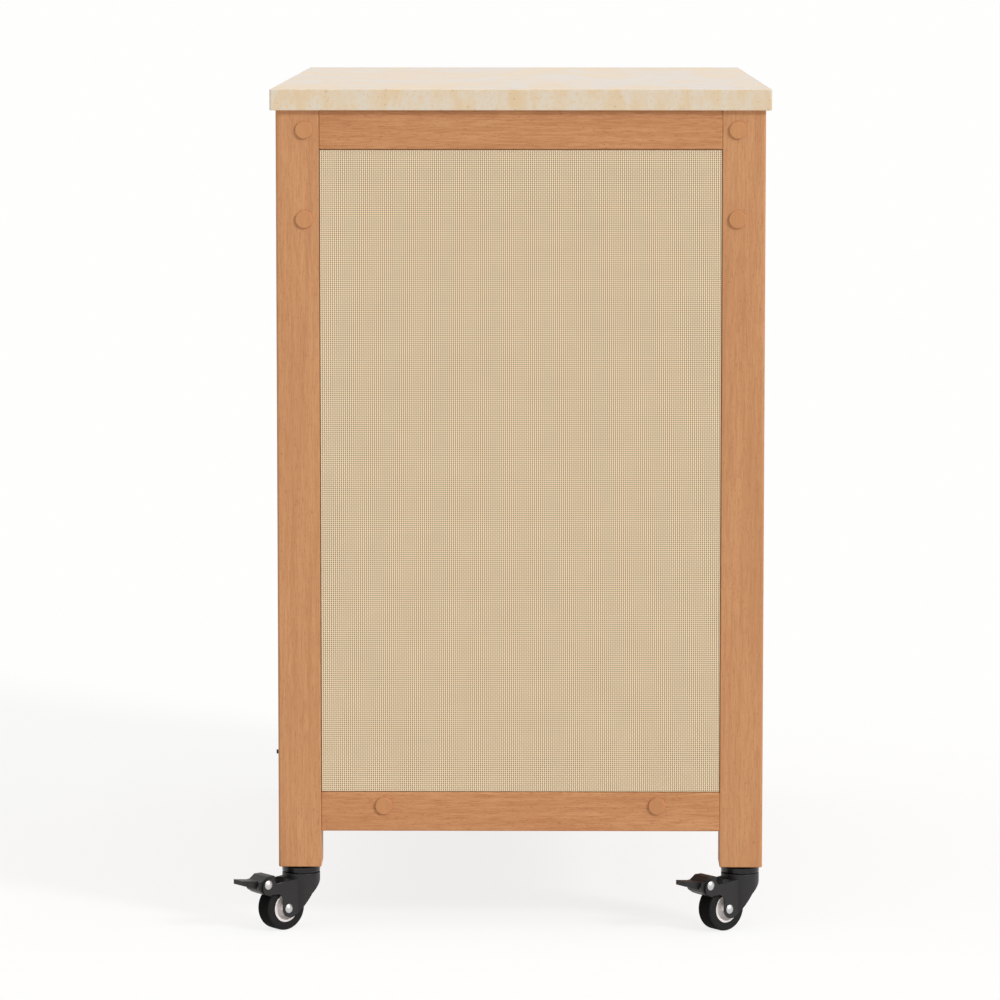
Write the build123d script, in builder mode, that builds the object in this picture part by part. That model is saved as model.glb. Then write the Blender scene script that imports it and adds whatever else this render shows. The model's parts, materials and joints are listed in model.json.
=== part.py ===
from build123d import *
import math
import os

os.makedirs("parts", exist_ok=True)

# A bar cart on four braked casters, seen in the photograph from its near end.
# X runs across that end, left to right, Y runs along the cart to its far end, and Z is up.
# Sizes are millimetres. Left and near are the negative sides.

LEFT, RIGHT = -1, 1
NEAR, FAR = -1, 1
side_names = {LEFT: "left", RIGHT: "right"}
end_names = {NEAR: "near", FAR: "far"}

# Overall sizes
top_width = 533.0
top_length = 914.0
cart_height = 906.0
top_thickness = 22.5
top_overhang = 6.0
top_corner = 2.0
top_ease = 1.2
underside_ease = 0.8

# Corner posts and end frames
post_width = 46.0
post_ease = 3.0
post_inner_ease = 1.0
foot_ease = 1.2
top_rail_height = 41.5
bottom_rail_height = 42.5
bottom_rail_low = 108.3
rail_thickness = 24.0
rail_ease = 1.5
rail_end_chamfer = 1.0

# Woven end panels, each glued on a thin board. The board's rim sits in a groove behind a lip,
# and its raised field brings the cloth forward almost to the frame's face.
panel_lip = 3.5
panel_reveal = 0.8
panel_gap = 0.9
weave_thickness = 1.5
board_thickness = 4.0
groove_play = 0.2
groove_depth = 7.0

# Lengthwise members
apron_height = 137.0
apron_thickness = 20.0
bearer_width = 40.0
bearer_height = 30.0
bearer_spacing = 294.0
bearer_screw_offset = 10.0
member_ease = 2.0

# Bolts, barrel nuts and their wooden caps
bolt_inset = 30.0
bolt_edge = 21.0
bolt_radius = 3.0
bolt_play = 0.3
bolt_head_radius = 5.0
bolt_head_height = 6.0
bolt_socket = 5.0
bolt_socket_depth = 3.5
bolt_reach = 46.0
bolt_end_play = 4.0
sink_radius = 6.5
sink_depth = 12.0
cap_radius = 9.25
cap_rise = 2.4
cap_round = 0.9
cap_stem = 5.0
cap_play = 0.1
nut_radius = 5.0
nut_length = 15.0
nut_inset = 36.0
nut_slot_width = 1.2
nut_slot_depth = 1.0
thread_play = 0.05

# Dowels between the end rails and the posts
dowel_radius = 4.0
dowel_length = 32.0
dowel_spacing = 26.0
dowel_chamfer = 0.8
dowel_play = 0.1
hole_spare = 1.0

# Slatted shelves
slat_thickness = 14.0
slat_gap = 8.0
slat_count = 14
slat_end_play = 3.0
slat_ease = 2.0
shelf_inset = 10.5
end_slat_width = 24.0
end_slat_play = 1.0
middle_shelf_top = 515.0
batten_width = 24.0
batten_height = 30.0
batten_inset = 28.5
batten_play = 2.0

# Shelf pins and their rows of holes
pin_radius = 3.0
pin_depth = 12.0
pin_reach = 14.0
pin_collar_radius = 5.0
pin_collar = 1.6
pin_play = 0.1
pin_pitch = 32.0
pin_rows = 3

# Screws
screw_radius = 2.0
screw_head_radius = 4.0
screw_bite = 9.0
bracket_screw_length = 14.0
screw_head_height = 2.4

# Angle brackets that hold the top
bracket_leg = 28.0
bracket_width = 30.0
bracket_gauge = 2.5
bracket_hole_inset = 18.0
bracket_count_along = 2
bracket_spacing = 480.0
top_insert_radius = 4.0
top_insert_length = 12.0

# Swivel casters, drawn with the floor at zero and reaches counted from the swivel's axis
caster_turn = 38.5
wheel_radius = 24.5
wheel_width = 20.6
wheel_clearance = 2.2
caster_headroom = 20.0
trail = 26.8
tyre_depth = 9.0
tyre_shoulder = 3.2
hub_setback = 1.0
hub_lip = 1.5
hub_floor_radius = 9.5
hub_dish_depth = 4.0
hub_boss_radius = 4.5
axle_radius = 3.0
rivet_head_radius = 4.9
rivet_head_rise = 2.2
rivet_head_edge = 0.5
running_play = 0.06
side_play = 0.3
fork_gauge = 2.0
crown_radius = 20.5
crown_web = 6.0
crown_ease = 0.8
swivel_gap = 0.8
skirt_gap = 0.3
race_height = 6.0
race_neck = 1.8
race_neck_radius = 13.0
race_lip = 1.6
ball_radius = 2.0
ball_inset = 6.5
ball_count = 14
ball_play = 0.15
stem_radius = 4.0
stem_length = 20.0
stem_tip = 1.0
stem_head_radius = 6.0
stem_head_height = 2.0
insert_radius = 6.0
insert_length = 24.0
brake_offset = 26.8
brake_drop = 7.2
brake_pin_radius = 2.5
brake_boss_radius = 8.9
brake_boss_drop = 2.7
brake_boss_setback = 1.9
shoe_gap = 0.37
brake_swing = 18.0
hood_ease = 1.5
pedal_length = 29.9
pedal_width = 16.0

# Places worked out from the sizes above
frame_width = top_width - 2 * top_overhang
frame_length = top_length - 2 * top_overhang
top_underside = cart_height - top_thickness
caster_height = 2 * wheel_radius + caster_headroom
brake_reach = trail + brake_offset
pedal_reach = brake_reach + pedal_length
post_length = top_underside - caster_height
post_x = frame_width / 2 - post_width / 2
post_y = frame_length / 2 - post_width / 2
inner_x = frame_width / 2 - post_width
inner_y = frame_length / 2 - post_width
rail_length = 2 * inner_x
apron_length = 2 * inner_y
top_rail_low = top_underside - top_rail_height
bottom_rail_top = bottom_rail_low + bottom_rail_height
rail_inner_y = frame_length / 2 - rail_thickness
groove_width = board_thickness + 2 * groove_play
groove_y = frame_length / 2 - panel_lip - groove_width / 2
weave_y = frame_length / 2 - panel_reveal - weave_thickness / 2
field_thickness = panel_lip + groove_play - panel_reveal - weave_thickness
field_y = weave_y - weave_thickness / 2 - field_thickness / 2
board_width = rail_length + 2 * groove_depth - 2 * groove_play
board_low = bottom_rail_top - groove_depth + groove_play
board_height = top_rail_low + groove_depth - groove_play - board_low
field_width = rail_length - 2 * panel_gap
field_low = bottom_rail_top + panel_gap
field_height = top_rail_low - panel_gap - field_low
dowel_y = (groove_y - groove_width / 2 + rail_inner_y) / 2
apron_x = frame_width / 2 - bolt_inset
apron_low = top_underside - apron_height
apron_bolts = [top_underside - bolt_edge, apron_low + bolt_edge]
bearer_x = bearer_spacing / 2
bearer_screw_x = bearer_x + bearer_screw_offset
bearer_low = bottom_rail_top - bearer_height
bearer_bolt = bearer_low + bearer_height / 2
bearer_length = 2 * rail_inner_y
slat_zone = apron_length - 2 * slat_end_play
slat_pitch = (slat_zone + slat_gap) / slat_count
slat_width = slat_pitch - slat_gap
shelf_width = frame_width - 2 * shelf_inset
end_slat_y = slat_zone / 2 + slat_gap + end_slat_width / 2
bottom_shelf_top = bottom_rail_top + slat_thickness
middle_shelf_low = middle_shelf_top - slat_thickness
batten_x = frame_width / 2 - batten_inset
batten_low = middle_shelf_low - batten_height
batten_length = apron_length - 2 * batten_play
pin_height = batten_low - pin_radius - pin_play

# The brake pedals point to the left and to the near end and reach past the top there.
# The origin is on the floor under the middle of the whole footprint, pedals included.
turn = math.radians(caster_turn)
pedal_half = pedal_width / 2
pedal_left = post_x + pedal_reach * math.cos(turn) + pedal_half * math.sin(turn)
pedal_near = post_y + pedal_reach * math.sin(turn) + pedal_half * math.cos(turn)
middle_x = (pedal_left - top_width / 2) / 2
middle_y = (pedal_near - top_length / 2) / 2

lower = (Align.CENTER, Align.CENTER, Align.MIN)
upper = (Align.CENTER, Align.CENTER, Align.MAX)
corners = [(side, end) for end in (NEAR, FAR) for side in (LEFT, RIGHT)]


def spot(x, y, z):
    # A point counted from the middle of the cart and the floor.
    return (middle_x + x, middle_y + y, z)


def level(z):
    # The horizontal plane through the cart's middle at a height.
    return Plane(origin=spot(0, 0, z))


def facing(x, y, z, direction):
    # A plane at a point, whose normal gives the way that a hole opens or a head faces.
    return Plane(origin=spot(x, y, z), z_dir=direction)


def save(piece, name):
    piece.part.label = name
    export_step(piece.part, f"parts/{name}.step")


# Where the bolts, their nuts and the top's brackets go
apron_seats = [
    facing(side * apron_x, end * (frame_length / 2 - sink_depth), z, (0, end, 0))
    for side, end in corners
    for z in apron_bolts
]
bearer_seats = [
    facing(side * bearer_x, end * (frame_length / 2 - sink_depth), bearer_bolt, (0, end, 0))
    for side, end in corners
]
apron_bolt_length = post_width - sink_depth + bolt_reach
bearer_bolt_length = rail_thickness - sink_depth + bolt_reach


def bracket_corners(kind):
    # The lines where the aprons and the top rails meet the underside of the top.
    # Each plane's X points in from the wood, and its Z runs along it.
    if kind == "apron":
        wall = apron_x - apron_thickness / 2
        steps = [(i - (bracket_count_along - 1) / 2) * bracket_spacing for i in range(bracket_count_along)]
        return [
            Plane(origin=spot(side * wall, step, top_underside), x_dir=(-side, 0, 0), z_dir=(0, side, 0))
            for side in (LEFT, RIGHT)
            for step in steps
        ]
    return [
        Plane(origin=spot(0, end * rail_inner_y, top_underside), x_dir=(0, -end, 0), z_dir=(-end, 0, 0))
        for end in (NEAR, FAR)
    ]


def bracket_wood_screws(kind):
    # Screw places on the wood, each plane facing the screw's head.
    planes = []
    for corner in bracket_corners(kind):
        origin = corner.origin - Vector(0, 0, bracket_hole_inset)
        planes.append(Plane(origin=origin, z_dir=corner.x_dir))
    return planes


bracket_places = bracket_corners("apron") + bracket_corners("rail")
top_screw_places = [
    Plane(origin=corner.origin + corner.x_dir * bracket_hole_inset, z_dir=(0, 0, -1))
    for corner in bracket_places
]


# Stone top, drilled from below for the inserts that its screws go into
with BuildPart() as stone_top:
    with BuildSketch(level(top_underside)):
        RectangleRounded(top_width, top_length, top_corner)
    extrude(amount=top_thickness)
    fillet(stone_top.faces().sort_by(Axis.Z)[-1].edges(), radius=top_ease)
    fillet(stone_top.faces().sort_by(Axis.Z)[0].edges(), radius=underside_ease)
    with Locations(*top_screw_places):
        Hole(radius=top_insert_radius + dowel_play, depth=top_insert_length + hole_spare)
save(stone_top, "stone_top")


# Two dowels hold each end of each rail
dowel_heights = [
    middle + step * dowel_spacing / 2
    for middle in (bottom_rail_low + bottom_rail_height / 2, top_rail_low + top_rail_height / 2)
    for step in (-1, 1)
]


def make_post(side, end):
    # A corner post with its groove, and its holes for dowels, bolts, shelf pins and the caster.
    with BuildPart() as post:
        with BuildSketch(Plane(origin=spot(side * post_x, end * post_y, caster_height))):
            Rectangle(post_width, post_width)
        extrude(amount=post_length)
        inward = post.edges().filter_by(Axis.Z).group_by(Axis.X)[-1 if side == LEFT else 0]
        outward = post.edges().filter_by(Axis.Z).group_by(Axis.X)[0 if side == LEFT else -1]
        fillet(outward, radius=post_ease)
        fillet(inward, radius=post_inner_ease)
        fillet(post.faces().sort_by(Axis.Z)[0].edges(), radius=foot_ease)
        with BuildSketch(Plane(origin=spot(side * inner_x, end * groove_y, bottom_rail_top - groove_depth))):
            Rectangle(2 * groove_depth, groove_width)
        extrude(amount=top_rail_low - bottom_rail_top + 2 * groove_depth, mode=Mode.SUBTRACT)
        with Locations(*[facing(side * inner_x, end * dowel_y, z, (-side, 0, 0)) for z in dowel_heights]):
            Hole(radius=dowel_radius + dowel_play, depth=dowel_length / 2 + hole_spare)
        outer_face = end * frame_length / 2
        with Locations(*[facing(side * apron_x, outer_face, z, (0, end, 0)) for z in apron_bolts]):
            CounterBoreHole(
                radius=bolt_radius + bolt_play,
                counter_bore_radius=sink_radius,
                counter_bore_depth=sink_depth,
                depth=post_width,
            )
        rows = [pin_height + (i - (pin_rows - 1) / 2) * pin_pitch for i in range(pin_rows)]
        with Locations(*[facing(side * batten_x, end * inner_y, z, (0, -end, 0)) for z in rows]):
            Hole(radius=pin_radius + pin_play, depth=pin_depth + pin_play)
        with Locations(facing(side * post_x, end * post_y, caster_height, (0, 0, -1))):
            Hole(radius=insert_radius + dowel_play, depth=insert_length + hole_spare)
    return post


for side, end in corners:
    save(make_post(side, end), f"post_{end_names[end]}_{side_names[side]}")


def make_rail(end, low, height, groove_low):
    # An end rail between two posts, grooved along the edge that meets the panel.
    with BuildPart() as rail:
        with BuildSketch(Plane(origin=spot(0, end * (frame_length - rail_thickness) / 2, low))):
            Rectangle(rail_length, rail_thickness)
        extrude(amount=height)
        fillet(rail.edges().filter_by(Axis.X), radius=rail_ease)
        shown = rail.faces().sort_by(Axis.Y)[0 if end == NEAR else -1]
        chamfer(shown.edges().filter_by(Axis.Z), length=rail_end_chamfer)
        with BuildSketch(Plane(origin=spot(0, end * groove_y, groove_low))):
            Rectangle(rail_length, groove_width)
        extrude(amount=2 * groove_depth, mode=Mode.SUBTRACT)
        ends = [
            facing(side * inner_x, end * dowel_y, low + height / 2 + step * dowel_spacing / 2, (side, 0, 0))
            for side in (LEFT, RIGHT)
            for step in (-1, 1)
        ]
        with Locations(*ends):
            Hole(radius=dowel_radius + dowel_play, depth=dowel_length / 2 + hole_spare)
        if low == bottom_rail_low:
            outer_face = end * frame_length / 2
            mouths = [facing(side * bearer_x, outer_face, bearer_bolt, (0, end, 0)) for side in (LEFT, RIGHT)]
            with Locations(*mouths):
                CounterBoreHole(
                    radius=bolt_radius + bolt_play,
                    counter_bore_radius=sink_radius,
                    counter_bore_depth=sink_depth,
                    depth=rail_thickness,
                )
        else:
            places = [plane for plane in bracket_wood_screws("rail") if plane.z_dir.Y * end < 0]
            with Locations(*places):
                Hole(radius=screw_radius + thread_play, depth=bracket_screw_length)
    return rail


for end in (NEAR, FAR):
    top_rail = make_rail(end, top_rail_low, top_rail_height, top_rail_low - groove_depth)
    save(top_rail, f"top_rail_{end_names[end]}")
    bottom_rail = make_rail(end, bottom_rail_low, bottom_rail_height, bottom_rail_top - groove_depth)
    save(bottom_rail, f"bottom_rail_{end_names[end]}")


for end in (NEAR, FAR):
    with BuildPart() as woven_panel:
        with BuildSketch(Plane(origin=spot(0, end * weave_y, field_low))):
            Rectangle(field_width, weave_thickness)
        extrude(amount=field_height)
    save(woven_panel, f"woven_panel_{end_names[end]}")
    with BuildPart() as panel_board:
        with BuildSketch(Plane(origin=spot(0, end * groove_y, board_low))):
            Rectangle(board_width, board_thickness)
        extrude(amount=board_height)
        with BuildSketch(Plane(origin=spot(0, end * field_y, field_low))):
            Rectangle(field_width, field_thickness)
        extrude(amount=field_height)
    save(panel_board, f"panel_board_{end_names[end]}")


def nut_places(kind):
    # The middle of each barrel nut, its plane facing the mouth of the nut's hole.
    if kind == "apron":
        return [
            facing(side * apron_x, end * (inner_y - nut_inset), z, (-side, 0, 0))
            for side, end in corners
            for z in apron_bolts
        ]
    return [
        facing(side * bearer_x, end * (rail_inner_y - nut_inset), bearer_bolt, (0, 0, -1))
        for side, end in corners
    ]


def drill_member(side, kind, seats, half_thickness):
    # Bolt holes into both ends of a member, and a cross hole for each barrel nut.
    along = bolt_reach + bolt_end_play
    start = inner_y if kind == "apron" else rail_inner_y
    own = [plane for plane in seats if (plane.origin.X - middle_x) * side > 0]
    mouths = []
    for plane in own:
        mouth = (plane.origin.X, middle_y + plane.z_dir.Y * start, plane.origin.Z)
        mouths.append(Plane(origin=mouth, z_dir=plane.z_dir))
    with Locations(*mouths):
        Hole(radius=bolt_radius + bolt_play, depth=along)
    nuts = [plane for plane in nut_places(kind) if (plane.origin.X - middle_x) * side > 0]
    with Locations(*[plane.offset(half_thickness) for plane in nuts]):
        Hole(radius=nut_radius + dowel_play, depth=half_thickness + nut_length / 2)


def make_apron(side):
    # A deep lengthwise apron under the edge of the top.
    with BuildPart() as apron:
        with BuildSketch(Plane(origin=spot(side * apron_x, 0, apron_low))):
            Rectangle(apron_thickness, apron_length)
        extrude(amount=apron_height)
        fillet(apron.edges().filter_by(Axis.Y), radius=member_ease)
        drill_member(side, "apron", apron_seats, apron_thickness / 2)
        places = [plane for plane in bracket_wood_screws("apron") if plane.z_dir.X * side < 0]
        with Locations(*places):
            Hole(radius=screw_radius + thread_play, depth=bracket_screw_length)
    return apron


def slat_rows(count):
    return [(i - (count - 1) / 2) * slat_pitch for i in range(count)]


def slat_screws(x, low, rows):
    # Screws that come up through a member into the slats, each plane facing the screw's head.
    return [facing(x, row, low, (0, 0, -1)) for row in rows]


bottom_rows = slat_rows(slat_count) + [NEAR * end_slat_y, FAR * end_slat_y]
bearer_rows = [row for row in bottom_rows if abs(row) < rail_inner_y - screw_head_radius]
middle_rows = slat_rows(slat_count)


def make_member(x, screw_x, width, low, height, length, rows):
    # A lengthwise bearer or batten, drilled upwards for the slats' screws.
    with BuildPart() as member:
        with BuildSketch(Plane(origin=spot(x, 0, low))):
            Rectangle(width, length)
        extrude(amount=height)
        fillet(member.edges().filter_by(Axis.Y), radius=member_ease)
        with Locations(*slat_screws(screw_x, low, rows)):
            CounterSinkHole(
                radius=screw_radius + thread_play,
                counter_sink_radius=screw_head_radius + thread_play,
                depth=height,
            )
    return member


for side in (LEFT, RIGHT):
    save(make_apron(side), f"apron_{side_names[side]}")
    bearer = make_member(
        side * bearer_x, side * bearer_screw_x, bearer_width, bearer_low, bearer_height,
        bearer_length, bearer_rows,
    )
    with bearer:
        drill_member(side, "bearer", bearer_seats, bearer_height / 2)
    save(bearer, f"shelf_bearer_{side_names[side]}")
    batten = make_member(
        side * batten_x, side * batten_x, batten_width, batten_low, batten_height,
        batten_length, middle_rows,
    )
    save(batten, f"shelf_batten_{side_names[side]}")


def make_slats(low, rows, screw_x, screw_rows, end_rows):
    # A shelf of cross slats with pilot holes from below. The end slats fit between the posts.
    with BuildPart() as slats:
        with BuildSketch(level(low)):
            with Locations(*[(0, row) for row in rows]):
                Rectangle(shelf_width, slat_width)
            with Locations(*[(0, row) for row in end_rows]):
                Rectangle(rail_length - 2 * end_slat_play, end_slat_width)
        extrude(amount=slat_thickness)
        fillet(slats.edges().filter_by(Axis.X), radius=slat_ease)
        pilots = slat_screws(LEFT * screw_x, low, screw_rows) + slat_screws(RIGHT * screw_x, low, screw_rows)
        with Locations(*pilots):
            Hole(radius=screw_radius + thread_play, depth=screw_bite + hole_spare)
    return slats


bottom_slats = make_slats(
    bottom_rail_top, slat_rows(slat_count), bearer_screw_x, bearer_rows, [NEAR * end_slat_y, FAR * end_slat_y]
)
save(bottom_slats, "bottom_shelf_slats")
middle_slats = make_slats(middle_shelf_low, middle_rows, batten_x, middle_rows, [])
save(middle_slats, "middle_shelf_slats")

# Steel pins that carry the middle shelf
pin_places = [facing(side * batten_x, end * inner_y, pin_height, (0, -end, 0)) for side, end in corners]
with BuildPart() as shelf_pins:
    with Locations(*pin_places):
        Cylinder(pin_radius, pin_depth, align=upper)
        Cylinder(pin_radius, pin_reach, align=lower)
        Cylinder(pin_collar_radius, pin_collar, align=lower)
save(shelf_pins, "shelf_pins")

# Socket-headed bolts, one at each cap
with BuildPart() as frame_bolts:
    with Locations(*apron_seats):
        Cylinder(bolt_radius, apron_bolt_length, align=upper)
        Cylinder(bolt_head_radius, bolt_head_height, align=lower)
    with Locations(*bearer_seats):
        Cylinder(bolt_radius, bearer_bolt_length, align=upper)
        Cylinder(bolt_head_radius, bolt_head_height, align=lower)
    for seat in apron_seats + bearer_seats:
        with BuildSketch(seat.offset(bolt_head_height)):
            RegularPolygon(radius=bolt_socket / 2, side_count=6, major_radius=False)
        extrude(amount=-bolt_socket_depth, mode=Mode.SUBTRACT)
save(frame_bolts, "frame_bolts")

# Barrel nuts, cross-drilled for their bolts and slotted at the mouth of their holes
with BuildPart() as barrel_nuts:
    nuts = nut_places("apron") + nut_places("bearer")
    with Locations(*nuts):
        Cylinder(nut_radius, nut_length)
    with Locations(*[Plane(origin=plane.origin, z_dir=(0, 1, 0)) for plane in nuts]):
        Cylinder(bolt_radius + thread_play, 3 * nut_radius, mode=Mode.SUBTRACT)
    with Locations(*[plane.offset(nut_length / 2) for plane in nuts]):
        Box(3 * nut_radius, nut_slot_width, 2 * nut_slot_depth, mode=Mode.SUBTRACT)
save(barrel_nuts, "barrel_nuts")


def domed_disc(radius, rise, edge):
    # A round head that stands on the XY plane, with a straight edge below its dome.
    dome = rise - edge
    ball = (radius**2 + dome**2) / (2 * dome)
    with BuildPart() as disc:
        Cylinder(radius, rise, align=lower)
        with Locations((0, 0, rise - ball)):
            Sphere(ball, mode=Mode.INTERSECT)
    return disc.part


# Button-shaped wooden caps that plug the bolts' counterbores
with BuildPart() as one_cap:
    Cylinder(cap_radius, cap_rise, align=lower)
    fillet(one_cap.faces().sort_by(Axis.Z)[-1].edges(), radius=cap_round)
    Cylinder(sink_radius - cap_play, cap_stem, align=upper)
with BuildPart() as bolt_caps:
    with Locations(*[seat.offset(sink_depth) for seat in apron_seats + bearer_seats]):
        add(one_cap.part)
save(bolt_caps, "bolt_caps")

# Dowels that join the end rails to the posts
with BuildPart() as rail_dowels:
    places = [
        facing(side * inner_x, end * dowel_y, z, (side, 0, 0)) for side, end in corners for z in dowel_heights
    ]
    with Locations(*places):
        Cylinder(dowel_radius, dowel_length)
    chamfer(rail_dowels.edges().filter_by(GeomType.CIRCLE), length=dowel_chamfer)
save(rail_dowels, "rail_dowels")

# Angle brackets under the top
with BuildPart() as top_brackets:
    for corner in bracket_places:
        with BuildSketch(corner.offset(-bracket_width / 2)):
            drop = -1 if corner.y_dir.Z > 0 else 1
            with BuildLine():
                Polyline(
                    (0, 0), (bracket_leg, 0), (bracket_leg, drop * bracket_gauge),
                    (bracket_gauge, drop * bracket_gauge), (bracket_gauge, drop * bracket_leg),
                    (0, drop * bracket_leg), close=True,
                )
            make_face()
        extrude(amount=bracket_width)
    holes = bracket_wood_screws("apron") + bracket_wood_screws("rail") + top_screw_places
    with Locations(*holes):
        Cylinder(screw_radius + bolt_play, 4 * bracket_gauge, mode=Mode.SUBTRACT)
save(top_brackets, "top_brackets")

# Pan-headed screws in the brackets
with BuildPart() as bracket_screws:
    with Locations(*[plane.offset(bracket_gauge) for plane in holes]):
        Cylinder(screw_head_radius, screw_head_height, align=lower)
        Cylinder(screw_radius, bracket_screw_length, align=upper)
save(bracket_screws, "bracket_screws")

# Threaded inserts in the top
with BuildPart() as top_inserts:
    with Locations(*top_screw_places):
        Cylinder(top_insert_radius, top_insert_length, align=upper)
        Cylinder(screw_radius + thread_play, 4 * top_insert_length, mode=Mode.SUBTRACT)
save(top_inserts, "top_inserts")

# Countersunk screws that come up through the bearers and battens into the slats
with BuildPart() as shelf_screws:
    for x, low, height, rows in (
        (bearer_screw_x, bearer_low, bearer_height, bearer_rows),
        (batten_x, batten_low, batten_height, middle_rows),
    ):
        heads = slat_screws(LEFT * x, low, rows) + slat_screws(RIGHT * x, low, rows)
        with Locations(*heads):
            Cylinder(screw_radius, height + screw_bite, align=upper)
            Cone(screw_radius, screw_head_radius, screw_head_radius - screw_radius, align=upper)
save(shelf_screws, "shelf_screws")

# Threaded inserts in the feet of the posts
with BuildPart() as leg_inserts:
    with Locations(*[facing(s * post_x, e * post_y, caster_height, (0, 0, -1)) for s, e in corners]):
        Cylinder(insert_radius, insert_length, align=upper)
        Cylinder(stem_radius + thread_play, 4 * insert_length, mode=Mode.SUBTRACT)
save(leg_inserts, "leg_inserts")


# Casters. Each piece is drawn once with the swivel's axis on Z and the floor at zero:
# X is the way that the wheel trails and Y runs along the axle. It is then set under each post.
race_top = caster_height - race_neck
race_low = race_top - race_height
crown_top = race_low - swivel_gap
web_low = crown_top - crown_web
ball_height = crown_top + swivel_gap / 2
ball_circle = crown_radius - ball_inset
stem_top = caster_height + stem_length
stem_foot = web_low - side_play
fork_gap = wheel_width + 2 * wheel_clearance
fork_half = fork_gap / 2 + fork_gauge
brake_height = crown_top - brake_drop
axle_line = Plane(origin=(trail, 0, wheel_radius), x_dir=(1, 0, 0), z_dir=(0, 1, 0))
brake_line = Plane(origin=(brake_reach, 0, brake_height), x_dir=(1, 0, 0), z_dir=(0, 1, 0))

# Threaded stem with the fixed upper race, headed over under the fork's crown
with BuildPart() as stem:
    with BuildSketch(Plane.XZ):
        with BuildLine():
            Polyline(
                (0, stem_foot - stem_head_height), (stem_head_radius, stem_foot - stem_head_height),
                (stem_head_radius, stem_foot), (stem_radius, stem_foot), (stem_radius, race_low),
                (crown_radius - race_lip, race_low), (crown_radius - race_lip, crown_top + skirt_gap),
                (crown_radius - race_lip / 2, crown_top + skirt_gap), (crown_radius, race_low + race_lip / 2),
                (crown_radius, race_top - race_lip / 4), (crown_radius - race_lip / 4, race_top),
                (race_neck_radius, race_top), (race_neck_radius, caster_height), (stem_radius, caster_height),
                (stem_radius, stem_top - stem_tip), (stem_radius - stem_tip, stem_top), (0, stem_top),
                close=True,
            )
        make_face()
    revolve(axis=Axis.Z)
    with Locations((0, 0, ball_height)):
        Torus(ball_circle, ball_radius + ball_play, mode=Mode.SUBTRACT)

# Fork: a crown, a front skirt and two cheeks with arms back to the brake, pressed from one sheet.
# Its outline is counted from the crown's top, the axle and the brake's pivot.
crease = math.sqrt(crown_radius**2 - fork_half**2)
cheek_low = wheel_radius - 9.9
cheek_back = trail + 7.0
cheek_front = (trail - 9.8, wheel_radius - 7.5)
skirt_top = crown_top - 4.9
skirt_cut = [
    (-1.5 * crown_radius, skirt_top + 0.4 * crown_radius), (-crown_radius, skirt_top),
    (0, wheel_radius + 14.0), (trail - 17.3, wheel_radius + 0.7), (trail - 12.8, wheel_radius - 5.7),
]
boss_x = brake_reach - brake_boss_setback
boss_z = brake_height - brake_boss_drop
arm_low = boss_z - brake_boss_radius
arm_bend = (brake_reach - 13.1, arm_low)
with BuildPart() as fork:
    with BuildSketch(Plane.XY.offset(cheek_low)):
        Circle(crown_radius)
    extrude(amount=crown_top - cheek_low)
    fillet(fork.faces().sort_by(Axis.Z)[-1].edges(), radius=crown_ease)
    with BuildSketch(Plane.XY.offset(cheek_low)):
        Circle(crown_radius - fork_gauge)
    extrude(amount=web_low - cheek_low, mode=Mode.SUBTRACT)
    with BuildSketch(Plane.XZ):
        Polygon(
            *skirt_cut, (2 * crown_radius, 0), (-2 * crown_radius, 0),
            (-2 * crown_radius, skirt_cut[0][1]), align=None,
        )
    extrude(amount=2 * crown_radius, both=True, mode=Mode.SUBTRACT)
    with BuildSketch(Plane.XZ):
        with BuildLine():
            Polyline(
                (crease - 1, wheel_radius + 5.5), (crease - 1, skirt_top),
                (brake_reach - 9.1, brake_height - 0.4), (boss_x, boss_z + 5.0), (boss_x, arm_low), arm_bend,
            )
            ThreePointArc(arm_bend, (cheek_back + 3.1, arm_low - 1.6), (cheek_back, arm_low - 5.4))
            Line((cheek_back, arm_low - 5.4), (cheek_back, wheel_radius))
            ThreePointArc((cheek_back, wheel_radius), (trail + 0.2, cheek_low), cheek_front)
            Polyline(cheek_front, skirt_cut[-1], skirt_cut[-2], (crease - 1, wheel_radius + 5.5))
        make_face()
        with Locations((boss_x, boss_z)):
            Circle(brake_boss_radius)
    extrude(amount=fork_half, both=True)
    with BuildSketch(Plane.XY):
        with Locations((pedal_reach / 2, 0)):
            Rectangle(pedal_reach, fork_gap)
    extrude(amount=web_low, mode=Mode.SUBTRACT)
    with BuildSketch(Plane.XY):
        with Locations((crown_radius + pedal_reach / 2, 0)):
            Rectangle(pedal_reach, fork_gap)
    extrude(amount=2 * crown_top, mode=Mode.SUBTRACT)
    with Locations((0, 0, ball_height)):
        Cylinder(stem_radius + running_play, 4 * crown_web, mode=Mode.SUBTRACT)
        Torus(ball_circle, ball_radius + ball_play, mode=Mode.SUBTRACT)
    with Locations(axle_line):
        Cylinder(axle_radius + running_play, 4 * fork_half, mode=Mode.SUBTRACT)
    with Locations(brake_line):
        Cylinder(brake_pin_radius + running_play, 4 * fork_half, mode=Mode.SUBTRACT)

# Tyre, with round shoulders
tread = wheel_width / 2
hub_radius = wheel_radius - tyre_depth
hub_width = wheel_width - 2 * hub_setback
with BuildPart() as tyre:
    with BuildSketch(axle_line):
        Circle(wheel_radius)
        Circle(hub_radius, mode=Mode.SUBTRACT)
    extrude(amount=tread, both=True)
    rims = tyre.edges().filter_by(GeomType.CIRCLE).filter_by(lambda edge: edge.radius > hub_radius + 1)
    fillet(rims, radius=tyre_shoulder)

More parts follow.
